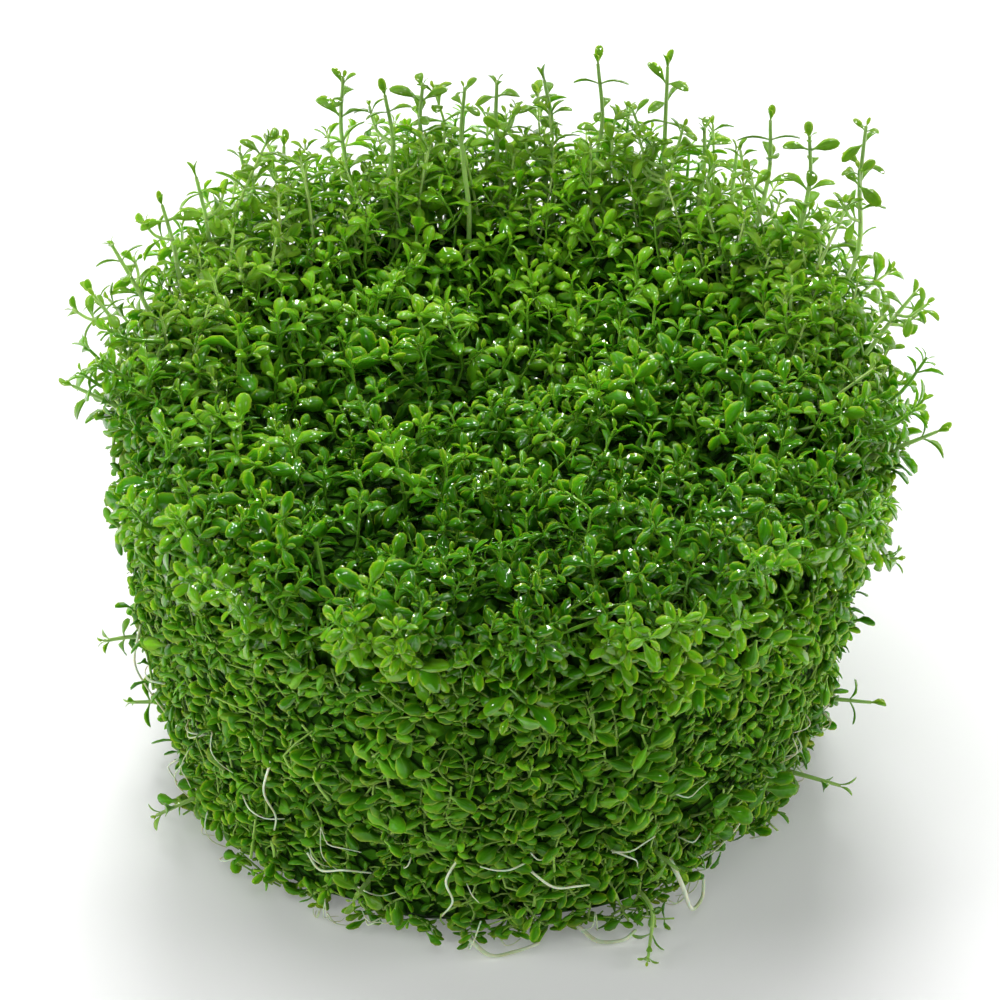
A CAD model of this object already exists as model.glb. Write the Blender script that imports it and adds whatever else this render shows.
import math
import random

import bmesh
import bpy
import numpy as np
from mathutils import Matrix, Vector


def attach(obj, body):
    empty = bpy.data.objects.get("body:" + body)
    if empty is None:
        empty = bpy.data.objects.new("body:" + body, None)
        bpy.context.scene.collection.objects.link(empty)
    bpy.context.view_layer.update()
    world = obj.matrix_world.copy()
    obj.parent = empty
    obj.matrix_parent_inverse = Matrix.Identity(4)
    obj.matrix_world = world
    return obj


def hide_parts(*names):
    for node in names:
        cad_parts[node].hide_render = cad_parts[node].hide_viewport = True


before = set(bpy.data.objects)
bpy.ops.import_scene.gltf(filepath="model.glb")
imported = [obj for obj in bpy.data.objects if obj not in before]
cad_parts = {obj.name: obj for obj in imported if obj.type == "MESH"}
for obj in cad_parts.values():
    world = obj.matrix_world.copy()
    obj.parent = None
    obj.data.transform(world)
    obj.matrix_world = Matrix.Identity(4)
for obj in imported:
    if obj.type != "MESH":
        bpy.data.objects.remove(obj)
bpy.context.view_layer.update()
mm = 0.001
print("frame loaded:", len(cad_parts), "nodes")

# Fixed seeds of everything random
seeds = {
    "standing": 100, "tucked": 150, "leggy": 200, "pressed": 300, "under": 500,
    "layers": 210, "layerStep": 20, "underLayer": 450, "tangle": 11,
    "tallSway": 700, "tall": 800, "sprigSway": 740, "sprig": 840, "trailing": 880,
    "fineRoots": 33, "freshTips": 61,
}

# The plug's outline that the leaf tips reach, as (radius, height) in millimetres
tipOutline = [
    (29.0, 0.0),
    (30.6, 1.5),
    (32.0, 9.0),
    (33.6, 16.0),
    (35.0, 23.0),
    (35.8, 31.0),
    (36.6, 38.0),
    (36.2, 41.5),
    (34.0, 44.2),
    (28.0, 45.5),
    (14.0, 45.0),
    (0.0, 44.5),
]

# Hollows between the clumps of the crown: (x, y), depth and half width
hollows = [
    ((-12.0, -23.5), 3.0, 4.8),
    ((15.5, -7.0), 2.6, 4.5),
    ((15.5, -17.0), 2.6, 4.2),
    ((-3.0, -24.0), 2.6, 4.2),
    ((5.3, 4.0), 2.4, 4.5),
    ((-16.0, -2.0), 2.4, 4.2),
    ((-7.5, -3.0), 2.0, 3.8),
    ((1.7, 16.5), 2.2, 4.5),
    ((21.0, 13.0), 2.0, 4.2),
    ((25.0, -12.5), 2.0, 4.0),
    ((-12.5, -29.0), 1.6, 3.6),
    ((-1.0, 2.0), 1.6, 3.6),
]


def hollowAt(x, y):
    return sum(depth * math.exp(-(math.hypot(x - hx, y - hy) / width) ** 2)
               for (hx, hy), depth, width in hollows)


# Small helpers for meshes

def emptySoup():
    return {"verts": [], "faces": [], "uvs": [], "age": [], "blade": [], "count": 0}


def addToSoup(soup, verts, faces, uvs, age, blade):
    start = soup["count"]
    soup["verts"].append(np.asarray(verts, float))
    soup["faces"] += [tuple(start + i for i in face) for face in faces]
    soup["uvs"] += uvs
    soup["age"].append(np.full(len(verts), age) if np.isscalar(age) else np.asarray(age))
    soup["blade"].append(np.asarray(blade, float))
    soup["count"] += len(verts)


def soupMesh(name, soup):
    mesh = bpy.data.meshes.new(name)
    mesh.from_pydata(np.concatenate(soup["verts"]), [], soup["faces"])
    layer = mesh.uv_layers.new(name="OFBake")
    corners = np.array([corner for face in soup["uvs"] for corner in face], np.float32)
    layer.data.foreach_set("uv", corners.ravel())
    age = mesh.attributes.new("age", "FLOAT", "POINT")
    age.data.foreach_set("value", np.concatenate(soup["age"]).astype(np.float32))
    blade = mesh.attributes.new("blade", "FLOAT_VECTOR", "POINT")
    blade.data.foreach_set("vector", np.concatenate(soup["blade"]).astype(np.float32).ravel())
    mesh.shade_smooth()
    return mesh


def newObject(name, mesh, material=None):
    thing = bpy.data.objects.new(name, mesh)
    bpy.context.scene.collection.objects.link(thing)
    if material:
        mesh.materials.clear()
        mesh.materials.append(material)
    return thing


def smoothPath(points, steps):
    points = [Vector(p) for p in points]
    ends = [points[0] * 2 - points[1], *points, points[-1] * 2 - points[-2]]
    path = []
    for a, b, c, d in zip(ends, ends[1:], ends[2:], ends[3:]):
        for step in range(steps):
            t = step / steps
            path.append(0.5 * (2 * b + (c - a) * t + (2 * a - 5 * b + 4 * c - d) * t * t
                               + (3 * b - a - 3 * c + d) * t * t * t))
    return [*path, points[-1]]


def pathFrames(path):
    # tangent and two sides at each point, turned as little as possible on the way
    tangents = []
    for i in range(len(path)):
        ahead = path[min(i + 1, len(path) - 1)] - path[max(i - 1, 0)]
        tangents.append(ahead.normalized())
    side = tangents[0].orthogonal().normalized()
    frames = []
    for place, tangent in zip(path, tangents):
        side = (side - tangent * side.dot(tangent)).normalized()
        frames.append((place, tangent, side, tangent.cross(side)))
    return frames


def frameAtLength(path, frames, length):
    for i, (a, b) in enumerate(zip(path, path[1:])):
        span = (b - a).length
        if length <= span or i == len(path) - 2:
            break
        length -= span
    share = min(max(length / span, 0.0), 1.0)
    first, second = frames[i], frames[i + 1]
    tangent = first[1].lerp(second[1], share).normalized()
    side = first[2].lerp(second[2], share)
    side = (side - tangent * side.dot(tangent)).normalized()
    return a.lerp(b, share), tangent, side, tangent.cross(side)


def pathLength(path):
    return sum((b - a).length for a, b in zip(path, path[1:]))


def either(rng, most):
    return rng.uniform(-most, most)


# A leaf: a plump spoon-shaped blade on a short stalk, closed

leafForm = {
    # how far along the leaf its cross sections stand, by level of detail
    "deep": [0.0, 0.34, 0.66, 0.92],
    "near": [0.0, 0.25, 0.52, 0.78, 0.95],
    "fine": [0.0, 0.16, 0.32, 0.50, 0.68, 0.83, 0.94],
    "widest": 0.60,
    "stalkEnd": 0.14,     # up to here it is a stalk
    "stalk": 0.20,        # half width of the stalk, as a share of the blade's
    "shoulder": 0.85,     # a lower power widens the blade sooner
    "tip": 2.6,           # a higher power makes the tip blunter
    "arch": 0.10,         # of its length
    "thickness": 0.09,    # of its length
    "thickEnds": 0.55,    # share of the thickness that the ends have
    "thickMiddle": 0.45,  # and what the middle adds
    "bellyShift": 0.1,
}
# cross sections as (share of the half width, side: 1 upper, -1 under, 0 rim)
leafRings = {
    "deep": [(-1.0, 0), (1.0, 0), (0.0, -1)],
    "near": [(-1.0, 0), (0.0, 1), (1.0, 0), (0.0, -1)],
    "fine": [(-1.0, 0), (-0.45, 1), (0.45, 1), (1.0, 0), (0.45, -1), (-0.45, -1)],
}
# where a leaf or a stem lies in its cell of the bake map
bakeCell = {
    "edge": 0.04,
    "leafHalf": 0.42,
    "leafFoot": 0.03,
    "leafLength": 0.94,
    "leafTip": 0.97,
    "upperMiddle": 0.25,
    "underMiddle": 0.75,
    "stemMiddle": 0.5,
    "stemSpan": 0.92,
    "stemTop": 0.96,
    "stemTip": 0.985,
    "speck": (0.02, 0.01),
}
stemMark = (2.0, 0.5, 0.0)  # 2 across marks a stem for the material


def halfWidth(along):
    start, widest = leafForm["stalkEnd"], leafForm["widest"]
    if along < widest:
        t = max(0.0, along - start) / (widest - start)
        swell = (t * t * (3 - 2 * t)) ** leafForm["shoulder"]
        return leafForm["stalk"] + (1 - leafForm["stalk"]) * swell
    t = (along - widest) / (1 - widest)
    return math.sqrt(max(0.0, 1 - t ** leafForm["tip"]))


def footCorners(count, middle):
    # the face that closes the foot takes a speck of the cell
    wide, high = bakeCell["speck"]
    return [(middle + wide * math.cos(a), wide + high * math.sin(a))
            for a in np.linspace(0, 2 * math.pi, count, endpoint=False)]


def addLeaf(soup, foot, direction, facing, length, width, curl, cup, age, level):
    along = direction.normalized()
    up = (facing - along * facing.dot(along)).normalized()
    across = along.cross(up)
    ring, stations = leafRings[level], leafForm[level]
    half, thick = width / 2, leafForm["thickness"] * length
    verts, blade = [], []

    def place(x, y, z, share):
        verts.append(foot + across * x + along * y + up * z)
        blade.append((share, y / length, 0.0))

    for s in stations:
        w = halfWidth(s) * half
        middle = length * (leafForm["arch"] * math.sin(math.pi * s) - curl * s * s)
        belly = math.sin(math.pi * min(1.0, s + leafForm["bellyShift"]))
        body = thick * (leafForm["thickEnds"] + leafForm["thickMiddle"] * belly)
        for share, side in ring:
            z = middle + cup * w * share * share + side * body / 2 * (1 - share * share)
            place(share * w, s * length, z, share)
    place(0.0, length, length * -curl, 0.0)
    n, last, tip = len(ring), len(stations) - 1, len(verts) - 1
    faces, uvs = [], []

    def spot(j, s, under):
        share = bakeCell["edge"] + bakeCell["leafHalf"] * (ring[j][0] + 1) / 2
        return (1 - share if under else share), bakeCell["leafFoot"] + bakeCell["leafLength"] * s

    for i, s in enumerate(stations):
        for j in range(n):
            k = (j + 1) % n
            under = ring[j][1] < 0 or ring[k][1] < 0
            low = [spot(j, s, under), spot(k, s, under)]
            if i < last:
                ahead = stations[i + 1]
                faces.append((i * n + j, i * n + k, (i + 1) * n + k, (i + 1) * n + j))
                uvs.append([*low, spot(k, ahead, under), spot(j, ahead, under)])
            else:
                faces.append((i * n + j, i * n + k, tip))
                middle = bakeCell["underMiddle" if under else "upperMiddle"]
                uvs.append([*low, (middle, bakeCell["leafTip"])])
    faces.append(tuple(range(n - 1, -1, -1)))
    uvs.append(footCorners(n, bakeCell["upperMiddle"]))
    addToSoup(soup, verts, faces, uvs, age, blade)


def addStem(soup, path, frames, radius, endRadius, age, sides):
    verts, faces, uvs = [], [], []
    last = len(path) - 1
    edge, span = bakeCell["edge"], bakeCell["stemSpan"]
    top, tip = bakeCell["stemTop"], bakeCell["stemTip"]
    for i, (place, _, side, other) in enumerate(frames):
        r = radius + (endRadius - radius) * i / last
        for j in range(sides):
            turn = 2 * math.pi * j / sides
            verts.append(place + side * (math.cos(turn) * r) + other * (math.sin(turn) * r))
    verts.append(path[-1] + frames[-1][1] * endRadius)
    for i in range(last + 1):
        for j in range(sides):
            k = (j + 1) % sides
            u, du = edge + span * j / sides, span / sides
            if i < last:
                v, dv = edge + span * i / last, span / last
                faces.append((i * sides + j, i * sides + k, (i + 1) * sides + k, (i + 1) * sides + j))
                uvs.append([(u, v), (u + du, v), (u + du, v + dv), (u, v + dv)])
            else:
                faces.append((i * sides + j, i * sides + k, len(verts) - 1))
                uvs.append([(u, top), (u + du, top), (u + du / 2, tip)])
    faces.append(tuple(range(sides - 1, -1, -1)))
    uvs.append(footCorners(sides, bakeCell["stemMiddle"]))
    addToSoup(soup, verts, faces, uvs, age, [stemMark] * len(verts))


# A standing shoot: pairs of leaves crossing each other down the stem, smallest at the tip.
# Each pair is (distance below the tip and leaf length in millimetres, rise in degrees, age, level
# of detail). Age runs from 0, fresh, to 1, old.

standingShoot = {
    "pairs": [
        (0.1, 1.1, 54, 0.04, "near"),
        (0.5, 1.9, 30, 0.12, "near"),
        (1.5, 2.5, 14, 0.32, "near"),
        (3.0, 2.6, 2, 0.56, "near"),
        (4.9, 2.5, -6, 0.80, "deep"),
    ],
    "branch": [
        (0.1, 1.2, 48, 0.15, "near"),
        (0.6, 2.0, 22, 0.30, "near"),
    ],
    "branchShare": 0.6,   # of the kinds that have a side branch
    "height": 7.5,
    "stem": 0.19,
    "stemTip": 0.13,
    "lean": 2.2,      # sideways wander of the stem
    "stretch": (0.8, 1.4),
    "widthRange": (0.40, 0.54),
    "scatter": 18,
    "kinds": 20,
}
# shoots of the wall stay small
tuckedShoot = {
    "pairs": [
        (0.1, 1.0, 56, 0.30, "deep"),
        (0.6, 1.7, 32, 0.40, "near"),
        (1.6, 2.0, 12, 0.60, "near"),
        (3.0, 2.0, 0, 0.85, "deep"),
    ],
    "branchShare": 0.0,
    "height": 4.5,
    "stem": 0.18,
    "stemTip": 0.13,
    "lean": 1.2,
    "stretch": (0.8, 1.3),
    "widthRange": (0.40, 0.54),
    "scatter": 24,
    "kinds": 14,
}
# the same plant where it stands free of its neighbours: longer stretches of bare stem
leggyShoot = {
    "pairs": [
        (0.1, 1.0, 60, 0.05, "near"),
        (0.5, 1.8, 36, 0.12, "near"),
        (1.8, 2.5, 20, 0.24, "near"),
        (3.6, 2.8, 12, 0.36, "near"),
        (5.8, 2.8, 4, 0.48, "near"),
        (8.2, 2.7, 0, 0.60, "near"),
        (10.8, 2.6, -4, 0.75, "deep"),
    ],
    "branch": [
        (0.1, 0.9, 56, 0.10, "near"),
        (0.6, 1.7, 36, 0.22, "near"),
        (2.4, 2.3, 16, 0.42, "near"),
    ],
    "branchShare": 0.6,
    "height": 15.0,
    "stem": 0.20,
    "stemTip": 0.13,
    "lean": 3.0,
    "stretch": (0.8, 1.15),
    "widthRange": (0.38, 0.52),
    "scatter": 20,
    "kinds": 12,
}
# a side branch: how far out and up it reaches in millimetres, and where on the stem it starts
sideBranch = {
    "reach": (1.4, 2.4),
    "rise": (1.6, 2.8),
    "start": (0.35, 0.5),
    "knee": (0.7, 0.45),  # its bend, as shares of the reach and the rise
}
# how each leaf differs from its neighbours
leafHabit = {
    "pairTurn": 0.25,     # radians off a true cross
    "leafTurn": 0.15,
    "roll": 0.6,
    "size": (0.84, 1.14),
    "curl": (-0.04, 0.26),
    "cup": (0.1, 0.5),
    "ageing": 0.1,
    "offset": 0.1,        # of its foot from the middle of the stem, in millimetres
}
stemAge = 0.4


def addShootLeaves(soup, path, frames, pairs, rng, widths, scatter):
    total = pathLength(path)
    turn = rng.uniform(0, math.pi)
    for number, (below, length, rise, age, level) in enumerate(pairs):
        place, tangent, side, other = frameAtLength(path, frames, total - below * mm)
        spin = turn + number * math.pi / 2 + either(rng, leafHabit["pairTurn"])
        for half in range(2):
            angle = spin + half * math.pi + either(rng, leafHabit["leafTurn"])
            away = side * math.cos(angle) + other * math.sin(angle)
            lift = math.radians(rise + either(rng, scatter))
            direction = away * math.cos(lift) + tangent * math.sin(lift)
            facing = tangent * math.cos(lift) - away * math.sin(lift)
            facing = facing + direction.cross(facing) * either(rng, leafHabit["roll"])
            size = length * rng.uniform(*leafHabit["size"]) * mm
            width = size * rng.uniform(*widths)
            curl, cup = rng.uniform(*leafHabit["curl"]), rng.uniform(*leafHabit["cup"])
            leafAge = min(1.0, age + rng.uniform(0, leafHabit["ageing"]))
            foot = place + away * leafHabit["offset"] * mm
            addLeaf(soup, foot, direction, facing, size, width, curl, cup, leafAge, level)


def makeShootKind(name, shoot, seed):
    rng = random.Random(seed)
    soup = emptySoup()
    lean, height, thin = shoot["lean"] * mm, shoot["height"] * mm, shoot["stemTip"] * mm
    habit = shoot["widthRange"], shoot["scatter"]
    points = [(either(rng, lean), either(rng, lean), -height),
              (either(rng, lean) / 2, either(rng, lean) / 2, -height / 2),
              (0, 0, 0)]
    path = smoothPath(points, steps=2)
    frames = pathFrames(path)
    addStem(soup, path, frames, shoot["stem"] * mm, thin, stemAge, sides=3)
    stretch = rng.uniform(*shoot["stretch"])
    pairs = [(below * stretch, *rest) for below, *rest in shoot["pairs"]]
    addShootLeaves(soup, path, frames, pairs, rng, *habit)
    if rng.random() < shoot["branchShare"]:
        heading = rng.uniform(0, 2 * math.pi)
        reach = rng.uniform(*sideBranch["reach"]) * mm
        start = path[-1].lerp(path[0], rng.uniform(*sideBranch["start"]))
        sideways = Vector((math.cos(heading), math.sin(heading), 0)) * reach
        rise = Vector((0, 0, rng.uniform(*sideBranch["rise"]) * mm))
        outShare, upShare = sideBranch["knee"]
        knee = start + sideways * outShare + rise * upShare
        twig = smoothPath([start, knee, start + sideways + rise], steps=2)
        twigFrames = pathFrames(twig)
        addStem(soup, twig, twigFrames, thin, thin, stemAge, sides=3)
        addShootLeaves(soup, twig, twigFrames, shoot["branch"], rng, *habit)
    return soupMesh(name, soup)


# A pressed sprig: stem and leaves spread flat where the cup's wall was, facing local +Y

pressedSprig = {
    "length": 5.0,
    "bend": 1.2,
    "stem": 0.17,
    "stemTaper": 0.7,
    "stemAge": 0.6,
    "stemDepth": (-0.4, 0.1),     # of its foot and its tip
    "leaves": 9,
    "firstLeaf": 0.7,             # in leaf spacings from the foot
    "leafSize": (1.3, 2.9),
    "widthRange": (0.32, 0.56),
    "depth": (-0.2, 1.0),         # how far leaves lie over one another
    "swing": (-20, 50),           # towards the sprig's tip, in degrees
    "lift": (-0.1, 0.8),          # out of the wall
    # how much a leaf faces outward, to its side and along the stem
    "facing": ((0.1, 0.8), (-0.7, 0.7), (0.2, 1.6)),
    "curl": (-0.1, 0.2),
    "cup": (-0.2, 0.4),
    "ages": (0.35, 1.0),
    "kinds": 14,
    # every other kind has a bare stem that lies over its leaves
    "runner": 0.13,
    "runnerTaper": 0.8,
    "runnerAge": 0.3,
    "runnerSpread": 2.0,
    "runnerDepth": (0.2, 0.9),
    "runnerHeights": (-2.4, 0.1, 2.2),
    "runnerFoot": -0.5,
}
outward = Vector((0, 1, 0))


def makePressedKind(number):
    sprig = pressedSprig
    rng = random.Random(seeds["pressed"] + number)
    soup = emptySoup()
    size = sprig["length"] * mm
    bend = either(rng, sprig["bend"]) * mm
    footDepth, tipDepth = sprig["stemDepth"]
    points = [(0, footDepth * mm, -size / 2), (bend, 0, 0), (0, tipDepth * mm, size / 2)]
    path = smoothPath(points, steps=3)
    frames = pathFrames(path)
    stem, runner = sprig["stem"], sprig["runner"]
    addStem(soup, path, frames, stem * mm, stem * sprig["stemTaper"] * mm, sprig["stemAge"], sides=3)
    if number % 2:
        ends = [Vector((either(rng, sprig["runnerSpread"]), rng.uniform(*sprig["runnerDepth"]), z)) * mm
                for z in sprig["runnerHeights"]]
        ends[0].y = sprig["runnerFoot"] * mm
        bare = smoothPath(ends, steps=2)
        addStem(soup, bare, pathFrames(bare), runner * mm, runner * sprig["runnerTaper"] * mm,
                sprig["runnerAge"], sides=3)
    for index in range(sprig["leaves"]):
        along = size * (index + sprig["firstLeaf"]) / sprig["leaves"]
        place, tangent, _, _ = frameAtLength(path, frames, along)
        side = tangent.cross(outward) * (1 if index % 2 else -1)
        swing = math.radians(rng.uniform(*sprig["swing"]))
        direction = side * math.cos(swing) + tangent * math.sin(swing)
        direction += outward * rng.uniform(*sprig["lift"])
        facing = Vector()
        for axis, share in zip((outward, side, tangent), sprig["facing"]):
            facing += axis * rng.uniform(*share)
        length = rng.uniform(*sprig["leafSize"]) * mm
        foot = place + outward * rng.uniform(*sprig["depth"]) * mm
        width = length * rng.uniform(*sprig["widthRange"])
        curl, cup = rng.uniform(*sprig["curl"]), rng.uniform(*sprig["cup"])
        addLeaf(soup, foot, direction, facing, length, width, curl, cup,
                rng.uniform(*sprig["ages"]), "near" if index % 3 else "deep")
    return soupMesh(f"pressed{number:02d}", soup)


# old leaves that lie on the tangle in the gaps, two by two

underLeaves = {
    "leafSize": (1.8, 2.8),
    "widthRange": (0.42, 0.58),
    "lift": (0.1, 0.9),
    "roll": 1,
    "curl": (0.0, 0.2),
    "cup": 0.2,
    "ages": (0.7, 1.1),
    "kinds": 10,
}


def makeUnderKind(number):
    rng = random.Random(seeds["under"] + number)
    soup = emptySoup()
    for side in (1, -1):
        heading = rng.uniform(0, math.pi)
        flat = Vector((math.cos(heading), 0, math.sin(heading))) * side
        length = rng.uniform(*underLeaves["leafSize"]) * mm
        direction = flat + outward * rng.uniform(*underLeaves["lift"])
        facing = outward + flat * either(rng, underLeaves["roll"])
        width = length * rng.uniform(*underLeaves["widthRange"])
        addLeaf(soup, Vector(), direction, facing, length, width, rng.uniform(*underLeaves["curl"]),
                underLeaves["cup"], rng.uniform(*underLeaves["ages"]), "deep")
    return soupMesh(f"under{number:02d}", soup)


def collectKinds(name, meshes):
    kinds = bpy.data.collections.new(name)
    for mesh in meshes:
        kinds.objects.link(bpy.data.objects.new(mesh.name, mesh))
    return kinds


# Node helpers

def feed(tree, value, socket):
    if isinstance(value, bpy.types.NodeSocket):
        tree.links.new(value, socket)
    else:
        socket.default_value = value


def put(tree, kind, inputs=None, **settings):
    node = tree.nodes.new(kind)
    for name, value in settings.items():
        setattr(node, name, value)
    for key, value in (inputs or {}).items():
        feed(tree, value, node.inputs[key])
    return node


def out(node, key=0):
    return node.outputs[key]


def addSockets(tree, direction, sockets):
    for label, kind in sockets:
        tree.interface.new_socket(label, in_out=direction, socket_type="NodeSocket" + kind)


def randomFloat(tree, low, high, seed):
    return out(put(tree, "FunctionNodeRandomValue", {2: low, 3: high, 8: seed}, data_type="FLOAT"), 1)


def randomVector(tree, seed):
    limits = {0: (-1, -1, -1), 1: (1, 1, 1), 8: seed}
    return out(put(tree, "FunctionNodeRandomValue", limits, data_type="FLOAT_VECTOR"))


def addNumber(tree, a, b):
    return out(put(tree, "FunctionNodeIntegerMath", {0: a, 1: b}, operation="ADD"))


def vectorMath(tree, operation, a, b=(0.0, 0.0, 0.0), scale=1.0):
    return out(put(tree, "ShaderNodeVectorMath", {0: a, 1: b, 3: scale}, operation=operation))


def mathNode(tree, operation, a, b):
    return out(put(tree, "ShaderNodeMath", {0: a, 1: b}, operation=operation))


def mapRange(tree, value, low, high, toLow=0.0, toHigh=1.0):
    return out(put(tree, "ShaderNodeMapRange", {
        "Value": value, "From Min": low, "From Max": high, "To Min": toLow, "To Max": toHigh}))


def noiseAt(tree, place, scale, detail):
    return put(tree, "ShaderNodeTexNoise", {"Vector": place, "Scale": scale, "Detail": detail})


def mixColour(tree, factor, a, b, blend="MIX"):
    return out(put(tree, "ShaderNodeMix", {0: factor, 6: a, 7: b}, data_type="RGBA", blend_type=blend), 2)


# Geometry Nodes: shoots, sprigs and leaves scattered over a surface

scatterRules = {
    "clumpEdges": (0.35, 0.65),    # of the clump noise, from no hollow to the deepest
    # shoots stand taller the further from the axis and the further back, between these
    "rim": (17 * mm, 30 * mm),
    "back": (-4 * mm, 24 * mm),
    "tallPower": 1.8,              # a higher power makes tall ones rarer
    "tallRange": (0.3, 1.0),
    "proudPower": 1.7,             # and here large ones
    "sizeRange": (0.9, 1.1),
    "tintShare": 0.5,
    "kindNumbers": 1000,
}


def scatterTree(name, standing):
    # points on the surface, a shoot of a random kind on each, all made one mesh
    tree = bpy.data.node_groups.new(name, "GeometryNodeTree")
    tree.is_modifier = True
    addSockets(tree, "INPUT", [("Geometry", "Geometry")])
    addSockets(tree, "OUTPUT", [("Geometry", "Geometry")])
    addSockets(tree, "INPUT", [
        ("Spacing", "Float"), ("Most", "Float"), ("Seed", "Int"), ("Kinds", "Collection"),
        ("Upright", "Float"), ("Tilt", "Float"), ("Smallest", "Float"), ("Largest", "Float"),
        ("Sink", "Float"), ("Clump Size", "Float"), ("Clump Depth", "Float"), ("Crest", "Float"),
        ("Drift", "Float"), ("Spin", "Float"), ("Flatness", "Float"), ("Ageing", "Float"),
        ("Finish", "Material"),
    ])
    take = tree.nodes.new("NodeGroupInput").outputs
    result = tree.nodes.new("NodeGroupOutput")

    def draw(low, high, number):
        return randomFloat(tree, low, high, addNumber(tree, take["Seed"], number))

    def times(a, b):
        return mathNode(tree, "MULTIPLY", a, b)

    points = put(tree, "GeometryNodeDistributePointsOnFaces", {
        "Mesh": take["Geometry"], "Distance Min": take["Spacing"],
        "Density Max": take["Most"], "Seed": take["Seed"],
    }, distribute_method="POISSON")
    position = out(put(tree, "GeometryNodeInputPosition"))
    # each shoot leans its own way, and neighbours also lean together
    drift = out(noiseAt(tree, position, take["Clump Size"], 0.0), "Color")
    drift = vectorMath(tree, "SUBTRACT", drift, (0.5, 0.5, 0.5))
    drift = vectorMath(tree, "SCALE", drift, scale=take["Drift"])
    wander = randomVector(tree, addNumber(tree, take["Seed"], 1))
    wander = vectorMath(tree, "SCALE", wander, scale=take["Tilt"])
    wander = vectorMath(tree, "ADD", wander, drift)
    aim = out(points, "Normal")
    if standing:
        rise = put(tree, "ShaderNodeCombineXYZ", {"Z": take["Upright"]})
        aim = vectorMath(tree, "ADD", aim, out(rise))
    aim = vectorMath(tree, "NORMALIZE", vectorMath(tree, "ADD", aim, wander))
    axis, spinAxis = ("Z", (0, 0, 1)) if standing else ("Y", (0, 1, 0))
    turned = put(tree, "FunctionNodeAlignRotationToVector", {"Vector": aim}, axis=axis)
    if not standing:
        # the stem points up the wall before it is spun
        turned = put(tree, "FunctionNodeAlignRotationToVector", {
            "Rotation": out(turned), "Vector": (0.0, 0.0, 1.0)}, axis="Z", pivot_axis="Y")
    spin = put(tree, "FunctionNodeAxisAngleToRotation", {
        "Axis": spinAxis, "Angle": draw(times(take["Spin"], -1.0), take["Spin"], 2)})
    rotation = put(tree, "FunctionNodeRotateRotation", {
        "Rotation": out(turned), "Rotate By": out(spin)}, rotation_space="LOCAL")

    clump = out(noiseAt(tree, position, take["Clump Size"], 2.0))
    hollow = times(mapRange(tree, clump, *scatterRules["clumpEdges"]), take["Clump Depth"])
    depthShare = draw(0.0, 1.0, 3)
    sink = mathNode(tree, "ADD", times(depthShare, take["Sink"]), hollow)
    # towards the back and the rim some stand taller
    spot = put(tree, "ShaderNodeSeparateXYZ", {0: position})
    flatSpot = put(tree, "ShaderNodeCombineXYZ", {"X": out(spot, "X"), "Y": out(spot, "Y")})
    fromAxis = put(tree, "ShaderNodeVectorMath", {0: out(flatSpot)}, operation="LENGTH")
    rimShare = mapRange(tree, out(fromAxis, "Value"), *scatterRules["rim"])
    backShare = mapRange(tree, out(spot, "Y"), *scatterRules["back"])
    chance = mathNode(tree, "POWER", draw(0.0, 1.0, 7), scatterRules["tallPower"])
    chance = mapRange(tree, chance, 0.0, 1.0, *scatterRules["tallRange"])
    crest = times(times(rimShare, backShare), times(chance, take["Crest"]))
    moved = put(tree, "GeometryNodeSetPosition", {
        "Geometry": out(points, "Points"),
        "Offset": vectorMath(tree, "SCALE", aim, scale=mathNode(tree, "SUBTRACT", crest, sink)),
    })
    # a few that stand proud are large, those deep down are small
    proud = mathNode(tree, "POWER", mathNode(tree, "SUBTRACT", 1.0, depthShare), scatterRules["proudPower"])
    size = mapRange(tree, proud, 0.0, 1.0, take["Smallest"], take["Largest"])
    size = times(size, draw(*scatterRules["sizeRange"], 4))
    through = size if standing else times(size, take["Flatness"])
    scale = put(tree, "ShaderNodeCombineXYZ", {"X": size, "Y": through, "Z": size})
    kinds = put(tree, "GeometryNodeCollectionInfo", {
        "Collection": take["Kinds"], "Separate Children": True, "Reset Children": True})
    kind = put(tree, "FunctionNodeRandomValue", {
        4: 0, 5: scatterRules["kindNumbers"], 8: addNumber(tree, take["Seed"], 5)}, data_type="INT")
    shoots = put(tree, "GeometryNodeInstanceOnPoints", {
        "Points": out(moved), "Instance": out(kinds), "Pick Instance": True,
        "Instance Index": out(kind, 2), "Rotation": out(rotation), "Scale": out(scale)})
    # those that stand proud are the young ones
    share = scatterRules["tintShare"]
    shootTint = mathNode(tree, "ADD", draw(0.0, share, 6), times(depthShare, share))
    tint = put(tree, "GeometryNodeStoreNamedAttribute", {
        "Geometry": out(shoots), "Name": "tint", "Value": times(take["Ageing"], shootTint)},
        data_type="FLOAT", domain="INSTANCE")
    whole = put(tree, "GeometryNodeRealizeInstances", {"Geometry": out(tint)})
    done = put(tree, "GeometryNodeSetMaterial", {"Geometry": out(whole), "Material": take["Finish"]})
    tree.links.new(out(done), result.inputs[0])
    return tree


def runTree(name, guide, tree, values):
    modifier = guide.modifiers.new("leaves", "NODES")
    modifier.node_group = tree
    for item in tree.interface.items_tree:
        if item.in_out == "INPUT" and item.name in values:
            modifier[item.identifier] = values[item.name]
    depsgraph = bpy.context.evaluated_depsgraph_get()
    mesh = bpy.data.meshes.new_from_object(guide.evaluated_get(depsgraph))
    mesh.name = name
    bpy.data.objects.remove(guide, do_unlink=True)
    return newObject(name, mesh)


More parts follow.
